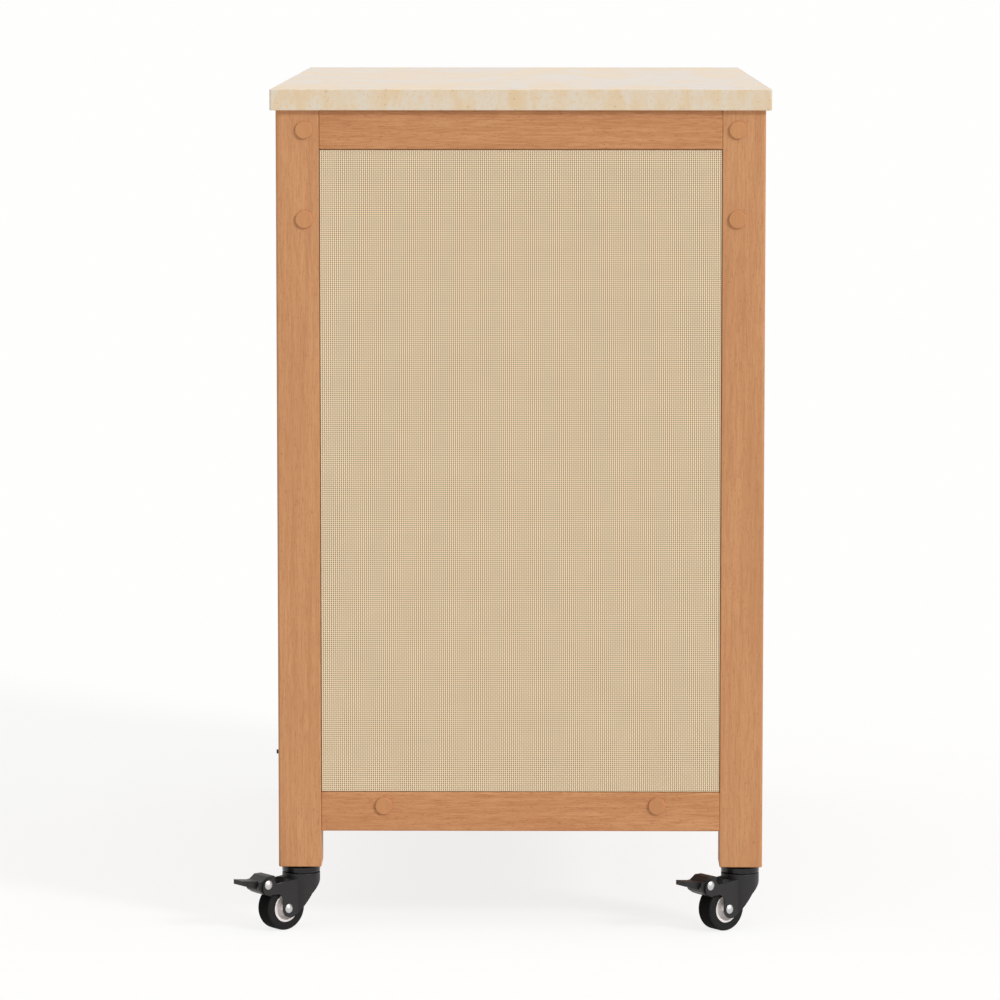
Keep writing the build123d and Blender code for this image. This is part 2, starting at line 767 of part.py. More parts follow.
# Hub, dished on both sides round a boss that spaces it between the cheeks
with BuildPart() as hub:
    with Locations(axle_line):
        Cylinder(hub_radius, hub_width)
    dishes = [
        axle_line.offset(hub_width / 2),
        Plane(origin=(trail, -hub_width / 2, wheel_radius), z_dir=(0, -1, 0)),
    ]
    with Locations(*dishes):
        Cone(hub_floor_radius, hub_radius - hub_lip, hub_dish_depth, align=upper, mode=Mode.SUBTRACT)
    with Locations(axle_line):
        Cylinder(hub_boss_radius, fork_gap - 2 * side_play)
        Cylinder(axle_radius + running_play, 2 * fork_gap, mode=Mode.SUBTRACT)


def rivet_piece(line, radius):
    # A rivet through both cheeks, with a domed head on each side.
    head = domed_disc(rivet_head_radius, rivet_head_rise, rivet_head_edge)
    faces = [Plane.XY.offset(fork_half), Plane(origin=(0, 0, -fork_half), z_dir=(0, 0, -1))]
    with BuildPart() as rivet:
        Cylinder(radius, 2 * fork_half)
        with Locations(*faces):
            add(head)
    with BuildPart() as placed:
        with Locations(line):
            add(rivet.part)
    return placed


# Brake lever, drawn round its pivot: a hood behind the crown, a shoe below and a pedal. Swung down
# by the whole of its travel, the shoe points straight at the axle and meets the tyre.
to_axle = (trail - brake_reach, wheel_radius - brake_height)
shoe_radius = math.hypot(*to_axle) - wheel_radius - shoe_gap
shoe_way = math.atan2(to_axle[1], to_axle[0]) + math.radians(brake_swing)
shoe_x = shoe_radius * math.cos(shoe_way)
shoe_z = shoe_radius * math.sin(shoe_way)
hood_rise = 8.8
lever_side = Plane(origin=(brake_reach, 0, brake_height), x_dir=(1, 0, 0), z_dir=(0, -1, 0))
with BuildPart() as lever:
    with BuildSketch(lever_side):
        Polygon(
            (-10.1, hood_rise), (-0.1, hood_rise), (6.4, 4.0), (10.4, 3.6), (12.4, -1.2), (9.4, -6.7),
            (3.4, -10.6), (shoe_x + 2.5, shoe_z - 0.3), (shoe_x, shoe_z), (shoe_x - 1.2, shoe_z + 2.4),
            (-7.1, -2.2), (-7.6, 3.3), (-10.1, 4.8), align=None,
        )
    extrude(amount=fork_gap / 2 - side_play, both=True)
    top_edges = lever.edges().filter_by(Axis.Y).group_by(Axis.Z)[-1]
    fillet(top_edges, radius=hood_ease)
    with BuildSketch(lever_side):
        Polygon(
            (8.4, -4.7), (21.8, -1.0), (pedal_length, 1.6), (pedal_length, 6.6), (8.4, 4.0), align=None,
        )
    extrude(amount=pedal_half, both=True)
    with Locations(brake_line):
        Cylinder(brake_pin_radius + running_play, 2 * fork_gap, mode=Mode.SUBTRACT)

caster_pieces = {
    "stem": stem,
    "fork": fork,
    "tyre": tyre,
    "hub": hub,
    "axle": rivet_piece(axle_line, axle_radius),
    "brake_pin": rivet_piece(brake_line, brake_pin_radius),
    "brake_lever": lever,
}
heading = (-math.cos(turn), -math.sin(turn), 0)
caster_bases = {
    (side, end): Plane(origin=spot(side * post_x, end * post_y, 0), x_dir=heading, z_dir=(0, 0, 1))
    for side, end in corners
}
for side, end in corners:
    for kind, drawn in caster_pieces.items():
        with BuildPart() as placed:
            with Locations(caster_bases[side, end]):
                add(drawn.part)
        save(placed, f"caster_{end_names[end]}_{side_names[side]}_{kind}")

with BuildPart() as swivel_balls:
    with Locations(*[base.offset(ball_height) for base in caster_bases.values()]):
        with PolarLocations(ball_circle, ball_count):
            Sphere(ball_radius)
save(swivel_balls, "swivel_balls")
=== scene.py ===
import json
import math

import bmesh
import bpy
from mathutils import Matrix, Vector


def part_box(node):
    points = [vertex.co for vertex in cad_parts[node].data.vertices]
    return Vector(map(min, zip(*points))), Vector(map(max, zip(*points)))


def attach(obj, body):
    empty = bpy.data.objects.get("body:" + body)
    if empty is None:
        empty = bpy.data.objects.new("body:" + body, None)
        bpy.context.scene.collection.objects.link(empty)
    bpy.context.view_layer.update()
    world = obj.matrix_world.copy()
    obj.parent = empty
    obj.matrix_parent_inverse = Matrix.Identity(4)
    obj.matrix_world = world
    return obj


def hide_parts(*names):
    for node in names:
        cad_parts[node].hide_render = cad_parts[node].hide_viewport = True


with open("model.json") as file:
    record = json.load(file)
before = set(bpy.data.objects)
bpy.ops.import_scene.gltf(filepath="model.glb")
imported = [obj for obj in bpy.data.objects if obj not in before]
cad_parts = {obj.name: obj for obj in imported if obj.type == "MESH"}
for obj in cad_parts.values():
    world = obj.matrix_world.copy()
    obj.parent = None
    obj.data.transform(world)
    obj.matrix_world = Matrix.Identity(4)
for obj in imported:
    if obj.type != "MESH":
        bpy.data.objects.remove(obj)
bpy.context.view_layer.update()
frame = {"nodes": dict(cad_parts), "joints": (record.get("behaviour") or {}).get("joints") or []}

nodes = frame["nodes"]
slabLow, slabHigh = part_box("stone_top")
middle = (slabLow + slabHigh) / 2  # the cart's own middle; the frame's origin also counts the pedals
print("frame loaded,", len(nodes), "nodes")


# Camera: nearly as far and as high as the photograph's, which was level with a large shift. This one
# leans down instead, because the other views keep the shift.
view = {
    "right": 0.0235,
    "height": 1.0614,
    "distance": 5.2356,
    "focal": 4.931,  # focal length over sensor width
    "sensor": 36.0,  # mm
    "shift": 0.05,
    "down": 5.885,  # degrees, as is the turn to the left
    "left": 0.497,
    "reach": 400.0,  # the farthest thing that is drawn
}


def placeCamera():
    data = bpy.data.cameras.new("photoView")
    data.sensor_width = view["sensor"]
    data.lens = view["focal"] * data.sensor_width
    data.shift_y = -view["shift"]
    data.clip_end = view["reach"]
    camera = bpy.data.objects.new("photoView", data)
    bpy.context.scene.collection.objects.link(camera)
    camera.location = (middle.x + view["right"], slabLow.y - view["distance"], view["height"])
    camera.rotation_euler = (math.radians(90 - view["down"]), 0, math.radians(view["left"]))
    bpy.context.scene.camera = camera


placeCamera()
print("camera placed")


def linear(text):
    # sRGB hex to the linear values that shaders take
    parts = [int(text[i:i + 2], 16) / 255 for i in (0, 2, 4)]
    return tuple([c / 12.92 if c <= 0.04045 else ((c + 0.055) / 1.055) ** 2.4 for c in parts] + [1.0])


def add(tree, kind, values=None, **settings):
    # adds a node; values go to its sockets, and a socket given as a value is linked
    node = tree.nodes.new(kind)
    for name, value in settings.items():
        setattr(node, name, value)
    for socket, value in (values or {}).items():
        if isinstance(value, bpy.types.NodeSocket):
            tree.links.new(value, node.inputs[socket])
        else:
            node.inputs[socket].default_value = value
    return node


def startMaterial(name, gloss):
    material = bpy.data.materials.new(name)
    material.use_nodes = True
    tree = material.node_tree
    tree.nodes.clear()
    shader = add(tree, "ShaderNodeBsdfPrincipled", {"Specular IOR Level": gloss})
    add(tree, "ShaderNodeOutputMaterial", {"Surface": shader.outputs[0]})
    return material, tree, shader


# Stained rubberwood, planed and satin lacquered: even orange-brown, soft streaks and short pore lines.
# Each figure's size is in metres across and along the grain, and it goes from none to full between two
# levels of its noise. Real fibres and pores are a few tenths of a millimetre wide. That is too fine to
# show, so they are drawn about 1 mm wide.
wood = {
    "base": "CB9264",
    "wander": {"size": (0.05, 0.38), "detail": 1.0, "rough": 0.5, "by": 0.012},
    "cloud": {"size": (0.045, 0.42), "detail": 3.0, "rough": 0.5, "between": (0.35, 0.65)},
    "streak": {"size": (0.0052, 0.15), "detail": 3.0, "rough": 0.6, "between": (0.4, 0.7)},
    "fibre": {"size": (0.0013, 0.02), "detail": 2.0, "rough": 0.6, "between": (0.42, 0.72)},
    "vessel": {"size": (0.0010, 0.005), "detail": 1.0, "rough": 0.5, "between": (0.6, 0.72)},
    "tones": {"cloud": "D39B6C", "streak": "B37447", "fibre": "B37447", "vessel": "A0663E"},
    "shares": {"streak": 0.42, "fibre": 0.55, "vessel": 0.42},  # at full strength; a cloud always covers all
    "boards": (0.86, 1.1),  # darkest and lightest board against the middle tone
    "roughness": (0.44, 0.56),
    "roughBetween": (0.3, 0.7),
    "bump": 0.1,
    "relief": 0.0002,
    "gloss": 0.35,
}


def woodMaterial(name, grain, strength=1.0, shade=(1.0, 1.0, 1.0), perPiece=False):
    # grain is the axis that the fibres run along; strength is how bold the figure is
    material, tree, shader = startMaterial(name, wood["gloss"])
    place = add(tree, "ShaderNodeTexCoord").outputs["Object"]
    if perPiece:
        own = add(tree, "ShaderNodeAttribute", attribute_name="ownGrain").outputs["Vector"]
        place = add(tree, "ShaderNodeVectorMath", {0: place, 1: own}, operation="ADD").outputs[0]

    def drawnOut(figure, where):
        # noise that is long in the direction of the grain
        across, along = figure["size"]
        scale = [1 / across] * 3
        scale["XYZ".index(grain)] = 1 / along
        spread = add(tree, "ShaderNodeMapping", {"Vector": where, "Scale": scale}).outputs[0]
        return add(tree, "ShaderNodeTexNoise", {
            "Vector": spread, "Scale": 1.0, "Detail": figure["detail"], "Roughness": figure["rough"]})

    # the lines wander a little, as they do in a sawn board
    noise = drawnOut(wood["wander"], place).outputs["Color"]
    sway = add(tree, "ShaderNodeVectorMath", {0: noise, 1: (0.5, 0.5, 0.5)}, operation="SUBTRACT").outputs[0]
    by = [wood["wander"]["by"]] * 3
    by["XYZ".index(grain)] = 0.0
    line = add(tree, "ShaderNodeVectorMath", {0: sway, 1: by, 2: place}, operation="MULTIPLY_ADD").outputs[0]

    tone = linear(wood["base"])
    noises = {}
    covers = {}
    for key, where in (("cloud", place), ("streak", line), ("fibre", line), ("vessel", line)):
        low, high = wood[key]["between"]
        share = wood["shares"][key] * strength if key in wood["shares"] else 1.0
        noises[key] = drawnOut(wood[key], where).outputs[0]
        covers[key] = add(tree, "ShaderNodeMapRange", {0: noises[key], 1: low, 2: high}).outputs[0]
        amount = add(tree, "ShaderNodeMath", {0: covers[key], 1: share}, operation="MULTIPLY").outputs[0]
        over = linear(wood["tones"][key])
        tone = add(tree, "ShaderNodeMix", {0: amount, 6: tone, 7: over}, data_type="RGBA").outputs[2]
    tone = add(tree, "ShaderNodeVectorMath", {0: tone, 1: shade}, operation="MULTIPLY").outputs[0]
    if perPiece:
        # no two slats come from the same board
        draw = add(tree, "ShaderNodeSeparateXYZ", {0: own}).outputs["X"]
        darkest, lightest = wood["boards"]
        board = add(tree, "ShaderNodeMapRange", {0: draw, 3: darkest, 4: lightest}).outputs[0]
        tone = add(tree, "ShaderNodeVectorMath", {0: tone, "Scale": board}, operation="SCALE").outputs[0]

    low, high = wood["roughBetween"]
    smooth, rough = wood["roughness"]
    roughness = add(tree, "ShaderNodeMapRange", {0: noises["fibre"], 1: low, 2: high, 3: smooth, 4: rough})
    relief = add(tree, "ShaderNodeMath", {0: noises["fibre"], 1: covers["vessel"]}, operation="SUBTRACT")
    bump = add(tree, "ShaderNodeBump", {
        "Strength": wood["bump"], "Distance": wood["relief"], "Height": relief.outputs[0]})
    tree.links.new(tone, shader.inputs["Base Color"])
    tree.links.new(roughness.outputs[0], shader.inputs["Roughness"])
    tree.links.new(bump.outputs[0], shader.inputs["Normal"])
    return material


# Honed travertine: cream with soft clouds on top, and warm upright bands with small pits on the sawn edges,
# which cut across the layers that the top only hints at. Sizes are metres across, along and up.
stone = {
    "cream": "EBD6BA",
    "noises": {
        "cloud": {"size": (0.085, 0.26, 0.05), "detail": 6.0, "distortion": 1.3},
        "band": {"size": (0.019, 0.085, 0.06), "detail": 4.0, "distortion": 0.5},
        "grain": {"size": (0.0034, 0.009, 0.0042), "detail": 4.0, "distortion": 0.0},
    },
    "pitPitch": (0.0055, 0.007, 0.0045),
    "pitRim": (0.08, 0.24),  # from a pit's middle, as a share of the pitch
    "pitted": (0.5, 0.62),  # the part of the bands that has pits
    "edgeTurn": (0.35, 0.9),  # how far a face looks up where the edge's look ends and the top's begins
    # over one another: the figure, the levels between which it goes from its first to its second amount,
    # those two amounts, how much of it shows on the top and on the edges, and its tone
    "layers": (
        ("cloud", (0.42, 0.6), (0.0, 1.0), (1.0, 1.0), "E8DDD2"),
        ("edge", (0.0, 1.0), (0.0, 1.0), (1.0, 1.0), "E4D5BF"),
        ("band", (0.3, 0.5), (0.8, 0.0), (0.2, 1.0), "E0D5C6"),
        ("band", (0.44, 0.66), (0.0, 1.0), (0.15, 0.95), "E3C8A2"),
        ("grain", (0.5, 0.72), (0.0, 1.0), (0.12, 0.95), "E3C8A2"),
        # painted shade: the pits are drawn darker, as the bump only dents them
        ("pit", (0.0, 1.0), (0.0, 1.0), (0.2, 0.6), "B38B5C"),
    ),
    "roughness": (0.42, 0.52),
    "roughBetween": (0.3, 0.7),
    "bump": 0.25,
    "relief": 0.0004,
    "gloss": 0.3,
}


def stoneMaterial(name):
    material, tree, shader = startMaterial(name, stone["gloss"])
    source = add(tree, "ShaderNodeTexCoord")
    figures = {}
    for key, noise in stone["noises"].items():
        scale = [1 / size for size in noise["size"]]
        spread = add(tree, "ShaderNodeMapping", {"Vector": source.outputs["Object"], "Scale": scale})
        figures[key] = add(tree, "ShaderNodeTexNoise", {
            "Vector": spread.outputs[0], "Scale": 1.0, "Detail": noise["detail"],
            "Distortion": noise["distortion"]}).outputs[0]

    up = add(tree, "ShaderNodeSeparateXYZ", {0: source.outputs["Normal"]}).outputs["Z"]
    level = add(tree, "ShaderNodeMath", {0: up}, operation="ABSOLUTE").outputs[0]
    low, high = stone["edgeTurn"]
    edge = add(tree, "ShaderNodeMapRange", {0: level, 1: low, 2: high, 3: 1.0, 4: 0.0})
    figures["edge"] = edge.outputs[0]

    scale = [1 / size for size in stone["pitPitch"]]
    spread = add(tree, "ShaderNodeMapping", {"Vector": source.outputs["Object"], "Scale": scale}).outputs[0]
    spots = add(tree, "ShaderNodeTexVoronoi", {"Vector": spread, "Scale": 1.0}).outputs["Distance"]
    low, high = stone["pitRim"]
    rim = add(tree, "ShaderNodeMapRange", {0: spots, 1: low, 2: high, 3: 1.0, 4: 0.0}).outputs[0]
    low, high = stone["pitted"]
    pitted = add(tree, "ShaderNodeMapRange", {0: figures["band"], 1: low, 2: high}).outputs[0]
    # this pit mask dents the surface and also carries the pits' painted shade
    figures["pit"] = add(tree, "ShaderNodeMath", {0: rim, 1: pitted}, operation="MULTIPLY").outputs[0]

    tone = linear(stone["cream"])
    for key, (low, high), (first, second), (onTop, onEdge), over in stone["layers"]:
        cover = add(tree, "ShaderNodeMapRange", {0: figures[key], 1: low, 2: high, 3: first, 4: second})
        shown = add(tree, "ShaderNodeMapRange", {0: figures["edge"], 3: onTop, 4: onEdge})
        amount = add(tree, "ShaderNodeMath", {0: cover.outputs[0], 1: shown.outputs[0]}, operation="MULTIPLY")
        tone = add(tree, "ShaderNodeMix", {
            0: amount.outputs[0], 6: tone, 7: linear(over)}, data_type="RGBA").outputs[2]

    low, high = stone["roughBetween"]
    smooth, rough = stone["roughness"]
    roughness = add(tree, "ShaderNodeMapRange", {0: figures["cloud"], 1: low, 2: high, 3: smooth, 4: rough})
    height = add(tree, "ShaderNodeMath", {0: 1.0, 1: figures["pit"]}, operation="SUBTRACT").outputs[0]
    bump = add(tree, "ShaderNodeBump", {
        "Strength": stone["bump"], "Distance": stone["relief"], "Height": height})
    tree.links.new(tone, shader.inputs["Base Color"])
    tree.links.new(roughness.outputs[0], shader.inputs["Roughness"])
    tree.links.new(bump.outputs[0], shader.inputs["Normal"])
    return material


# Plain-weave cloth of round paper yarn, 2.22 mm from thread to thread: pale ribs, with painted shade dark at
# each gap and darker down the threads' sides
weave = {
    "yarn": "F6DEBA",
    # painted shade: the dark colour drawn in the gaps and down the threads' sides
    "gap": "4A3823",
    "pitch": 0.00222,
    "rise": 0.25,  # how far a thread goes over and under, against its own height
    "weft": 0.83,  # the threads across stand a little lower than the upright ones
    "lit": (0.2, 1.1),  # heights over which the painted shade goes over to the yarn's own colour
    "relief": 0.00035,
    "bump": 0.3,
    "drift": 0.04,  # metres between slightly darker and lighter places
    "driftBetween": (0.3, 0.7),
    "driftTone": (0.985, 1.015),
    "roughness": 0.85,
    "gloss": 0.2,
    "sheen": 0.1,
}


def weaveMaterial(name):
    material, tree, shader = startMaterial(name, weave["gloss"])
    place = add(tree, "ShaderNodeTexCoord").outputs["Object"]
    turns = math.pi / weave["pitch"]
    phase = add(tree, "ShaderNodeVectorMath", {0: place, "Scale": turns}, operation="SCALE").outputs[0]
    swing = add(tree, "ShaderNodeVectorMath", {0: phase}, operation="SINE").outputs[0]
    ribs = add(tree, "ShaderNodeVectorMath", {0: swing}, operation="ABSOLUTE").outputs[0]
    sides = add(tree, "ShaderNodeVectorMath", {0: swing}, operation="SIGN").outputs[0]

    # each thread's top line goes over one neighbour and under the next
    waves = add(tree, "ShaderNodeSeparateXYZ", {0: swing})
    under = add(tree, "ShaderNodeMath", {0: waves.outputs["X"], 1: -1.0}, operation="MULTIPLY").outputs[0]
    crossing = add(tree, "ShaderNodeCombineXYZ", {"X": waves.outputs["Z"], "Z": under}).outputs[0]
    turned = add(tree, "ShaderNodeVectorMath", {0: crossing, 1: sides}, operation="MULTIPLY").outputs[0]
    risen = add(tree, "ShaderNodeVectorMath", {0: turned, "Scale": weave["rise"]}, operation="SCALE")
    threads = add(tree, "ShaderNodeVectorMath", {
        0: ribs, 1: (1.0, 0.0, weave["weft"]), 2: risen.outputs[0]}, operation="MULTIPLY_ADD").outputs[0]
    tops = add(tree, "ShaderNodeSeparateXYZ", {0: threads}).outputs
    height = add(tree, "ShaderNodeMath", {0: tops["X"], 1: tops["Z"]}, operation="MAXIMUM").outputs[0]

    # painted shade: the lower a point lies below the thread tops, the more of the dark colour it gets
    low, high = weave["lit"]
    lit = add(tree, "ShaderNodeMapRange", {0: height, 1: low, 2: high}, interpolation_type="SMOOTHSTEP")
    tone = add(tree, "ShaderNodeMix", {
        0: lit.outputs[0], 6: linear(weave["gap"]), 7: linear(weave["yarn"])}, data_type="RGBA").outputs[2]
    drift = add(tree, "ShaderNodeTexNoise", {"Vector": place, "Scale": 1 / weave["drift"], "Detail": 2.0})
    low, high = weave["driftBetween"]
    darker, lighter = weave["driftTone"]
    tint = add(tree, "ShaderNodeMapRange", {0: drift.outputs[0], 1: low, 2: high, 3: darker, 4: lighter})
    tinted = add(tree, "ShaderNodeVectorMath", {0: tone, "Scale": tint.outputs[0]}, operation="SCALE")
    bump = add(tree, "ShaderNodeBump", {
        "Strength": weave["bump"], "Distance": weave["relief"], "Height": height})
    tree.links.new(tinted.outputs[0], shader.inputs["Base Color"])
    tree.links.new(bump.outputs[0], shader.inputs["Normal"])
    shader.inputs["Roughness"].default_value = weave["roughness"]
    shader.inputs["Sheen Weight"].default_value = weave["sheen"]
    return material


# Coats, mouldings and platings: one colour with fine mottling and a faint bump
skin = {
    "patch": 0.025,  # metres between the mottled places
    "between": (0.3, 0.7),
    "roughnessBy": 0.04,
    "bump": 0.4,
    "grain": 0.0006,
}
# A tyre's tread is worn matt, and its colour is drawn darker than the side walls' as painted shade; its side
# walls, which face along the axle, keep the mould's skin
tread = {
    "axle": next(joint["axis"] for joint in frame["joints"] if joint["name"] == "near_left_wheel_spin"),
    "turn": (0.25, 0.75),  # how far a face looks along the axle, from tread to side wall
    # painted shade: how dark the tread's colour is drawn against the side walls'
    "tone": 0.3,
    "roughness": 0.95,
}


def plainMaterial(name, colour, roughness, metallic=0.0, gloss=0.5, depth=0.00004, mottle=0.06, tyre=False):
    # depth is how far the fine grain stands out, in metres; mottle is how much the tone varies
    material, tree, shader = startMaterial(name, gloss)
    source = add(tree, "ShaderNodeTexCoord")
    place = source.outputs["Object"]
    fine = add(tree, "ShaderNodeTexNoise", {"Vector": place, "Scale": 1 / skin["grain"], "Detail": 2.0})
    patch = add(tree, "ShaderNodeTexNoise", {"Vector": place, "Scale": 1 / skin["patch"], "Detail": 3.0})
    low, high = skin["between"]
    by = skin["roughnessBy"]
    tone = add(tree, "ShaderNodeMapRange", {
        0: patch.outputs[0], 1: low, 2: high, 3: 1 - mottle, 4: 1 + mottle}).outputs[0]
    rough = add(tree, "ShaderNodeMapRange", {
        0: patch.outputs[0], 1: low, 2: high, 3: roughness - by, 4: roughness + by}).outputs[0]
    if tyre:
        along = add(tree, "ShaderNodeVectorMath", {
            0: source.outputs["Normal"], 1: tread["axle"]}, operation="DOT_PRODUCT").outputs["Value"]
        wall = add(tree, "ShaderNodeMath", {0: along}, operation="ABSOLUTE").outputs[0]
        low, high = tread["turn"]
        # painted shade: the tread's colour is darkened, and the side walls keep theirs
        share = add(tree, "ShaderNodeMapRange", {0: wall, 1: low, 2: high, 3: tread["tone"]}).outputs[0]
        tone = add(tree, "ShaderNodeMath", {0: tone, 1: share}, operation="MULTIPLY").outputs[0]
        rough = add(tree, "ShaderNodeMapRange", {
            0: wall, 1: low, 2: high, 3: tread["roughness"], 4: roughness}).outputs[0]
    colours = add(tree, "ShaderNodeVectorMath", {0: linear(colour)[:3], "Scale": tone}, operation="SCALE")
    bump = add(tree, "ShaderNodeBump", {
        "Strength": skin["bump"], "Distance": depth, "Height": fine.outputs[0]})
    tree.links.new(colours.outputs[0], shader.inputs["Base Color"])
    tree.links.new(rough, shader.inputs["Roughness"])
    tree.links.new(bump.outputs[0], shader.inputs["Normal"])
    shader.inputs["Metallic"].default_value = metallic
    return material


finishes = {
    # the same stained rubberwood, with its grain along each piece; the crosswise pieces are a little darker
    "uprightWood": woodMaterial("stainedRubberwoodUpright", "Z", 0.85),
    "crossWood": woodMaterial("stainedRubberwoodAcross", "X", 1.2, (0.99, 0.96, 0.93)),
    "longWood": woodMaterial("stainedRubberwoodAlong", "Y", 1.1, (0.98, 0.96, 0.93)),
    "slatWood": woodMaterial("stainedRubberwoodSlats", "X", 1.0, (1.0, 0.98, 0.96), perPiece=True),
    # turned caps: the same stain with hardly any figure
    "capWood": woodMaterial("turnedRubberwoodCaps", "Z", 0.3, (0.94, 0.885, 0.81)),
    # unstained wood: paler and yellower
    "beech": woodMaterial("rawBeechDowel", "X", 0.4, (1.12, 1.3, 1.45)),
    "plywood": woodMaterial("sandedPlywood", "Z", 0.6, (1.05, 1.2, 1.3)),
    "stone": stoneMaterial("honedTravertine"),
    "cloth": weaveMaterial("plainWeaveYarn"),
    # powder coat on pressed steel: charcoal grey with a soft, wide sheen
    "fork": plainMaterial("charcoalPowderCoatSteel", "201E1F", 0.44, gloss=0.36),
    "lever": plainMaterial("charcoalPressedSteel", "1D1B1C", 0.46, gloss=0.36),
    "bracketSteel": plainMaterial("blackPowderCoatSteel", "232323", 0.5),
    # stove enamel: near black with a clear highlight
    "race": plainMaterial("blackEnamelSteel", "0C0C0D", 0.28, gloss=0.4),
    # moulded rubber: dull black, with painted shade darkening the tread
    "rubber": plainMaterial("mouldedBlackRubber", "1E1D1D", 0.56, gloss=0.14, tyre=True),
    # moulded nylon: warm white and satin
    "nylon": plainMaterial("offWhiteNylon", "FBF5F3", 0.4, depth=0.00002, mottle=0.02),
    # plated, turned and polished metals: pale grey, yellow, and close to a mirror
    "zinc": plainMaterial("brightZincPlate", "C9C9C8", 0.34, metallic=1.0, mottle=0.03),
    "brass": plainMaterial("turnedBrass", "C2A25E", 0.3, metallic=1.0),
    "bearingSteel": plainMaterial("polishedBearingSteel", "D0D0D2", 0.15, metallic=1.0, mottle=0.01),
}
print("materials made")

casterFinishes = {
    "stem": "race", "fork": "fork", "tyre": "rubber", "hub": "nylon", "axle": "zinc", "pin": "zinc",
    "lever": "lever",
}
finishOfNode = {}
for name in nodes:
    if name.startswith("caster"):
        finishOfNode[name] = casterFinishes[name.rsplit("_", 1)[1]]
    elif name.startswith("post_"):
        finishOfNode[name] = "uprightWood"
    elif name.startswith(("top_rail", "bottom_rail")):
        finishOfNode[name] = "crossWood"
    elif name.startswith(("apron", "shelf_bearer", "shelf_batten")):
        finishOfNode[name] = "longWood"
    elif name.startswith("panel_board"):
        finishOfNode[name] = "plywood"
    elif name.startswith("woven_panel"):
        finishOfNode[name] = "cloth"
finishOfNode.update({
    "stone_top": "stone", "bottom_shelf_slats": "slatWood", "middle_shelf_slats": "slatWood",
    "bolt_caps": "capWood", "rail_dowels": "beech", "shelf_pins": "zinc", "frame_bolts": "zinc",
    "barrel_nuts": "zinc", "bracket_screws": "zinc", "shelf_screws": "zinc", "top_brackets": "bracketSteel",
    "top_inserts": "brass", "leg_inserts": "brass", "swivel_balls": "bearingSteel",
})
for name, node in nodes.items():
    node.data.materials.clear()
    node.data.materials.append(finishes[finishOfNode[name]])
print("finishes on the CAD nodes")


# Slats, from Geometry Nodes trees of one design for both shelves, so each slat has rounded edges and its own
# grain
shelves = {
    "bottom_shelf_slats": {"count": 14, "ends": True, "seed": 3},
    "middle_shelf_slats": {"count": 14, "ends": False, "seed": 11},
}
slat = {
    "gap": 0.008,
    "shelfLength": 0.804,
    "endWidth": 0.024,
    "endPlay": 0.001,
    "edge": 0.002,
    "edgeSteps": 3,
}


def roundedBar(name, size):
    # a bar with rounded edges, round its own middle
    mesh = bpy.data.meshes.new(name)
    work = bmesh.new()
    bmesh.ops.create_cube(work, size=1.0)
    bmesh.ops.scale(work, vec=size, verts=work.verts)
    bmesh.ops.bevel(
        work, geom=work.edges[:], affect="EDGES", profile=0.5, offset=slat["edge"],
        segments=slat["edgeSteps"])
    work.to_mesh(mesh)
    work.free()
    return bpy.data.objects.new(name, mesh)


def slatTree(bar, finish):
    tree = bpy.data.node_groups.new("slatRow", "GeometryNodeTree")
    for name, kind in (("Count", "Int"), ("Pitch", "Float"), ("Start", "Vector"), ("Seed", "Int")):
        tree.interface.new_socket(name, in_out="INPUT", socket_type="NodeSocket" + kind)
    tree.interface.new_socket("Geometry", in_out="OUTPUT", socket_type="NodeSocketGeometry")
    inputs = add(tree, "NodeGroupInput").outputs
    step = add(tree, "ShaderNodeCombineXYZ", {"Y": inputs["Pitch"]})
    line = add(tree, "GeometryNodeMeshLine", {
        "Count": inputs["Count"], "Start Location": inputs["Start"], "Offset": step.outputs[0]})
    item = add(tree, "GeometryNodeObjectInfo", {"Object": bar})
    placed = add(tree, "GeometryNodeInstanceOnPoints", {
        "Points": line.outputs[0], "Instance": item.outputs["Geometry"]})
    chance = add(tree, "FunctionNodeRandomValue", {"Seed": inputs["Seed"]}, data_type="FLOAT_VECTOR")
    marked = add(tree, "GeometryNodeStoreNamedAttribute", {
        "Geometry": placed.outputs[0], "Name": "ownGrain", 3: chance.outputs[0]},
        data_type="FLOAT_VECTOR", domain="INSTANCE")
    real = add(tree, "GeometryNodeRealizeInstances", {0: marked.outputs[0]})
    done = add(tree, "GeometryNodeSetMaterial", {0: real.outputs[0], "Material": finish})
    add(tree, "NodeGroupOutput", {0: done.outputs[0]})
    return tree


def rowOfSlats(name, count, pitch, start, size, seed):
    bar = roundedBar(name + "Bar", size)
    tree = slatTree(bar, finishes["slatWood"])
    row = bpy.data.objects.new(name + "Row", bpy.data.meshes.new(name + "Row"))
    bpy.context.scene.collection.objects.link(row)
    bpy.context.scene.collection.objects.link(bar)
    modifier = row.modifiers.new("slats", "NODES")
    modifier.node_group = tree
    sockets = {item.name: item.identifier for item in tree.interface.items_tree if item.in_out == "INPUT"}
    for key, value in {"Count": count, "Pitch": pitch, "Start": start, "Seed": seed}.items():
        modifier[sockets[key]] = value
    bpy.context.view_layer.update()
    mesh = bpy.data.meshes.new_from_object(row.evaluated_get(bpy.context.evaluated_depsgraph_get()))
    row.modifiers.clear()
    bpy.data.objects.remove(row)
    bpy.data.objects.remove(bar)
    return mesh


def joined(name, meshes):
    work = bmesh.new()
    for mesh in meshes:
        work.from_mesh(mesh)
    result = bpy.data.meshes.new(name)
    work.to_mesh(result)
    work.free()
    for material in meshes[0].materials:
        result.materials.append(material)
    piece = bpy.data.objects.new(name, result)
    bpy.context.scene.collection.objects.link(piece)
    return piece


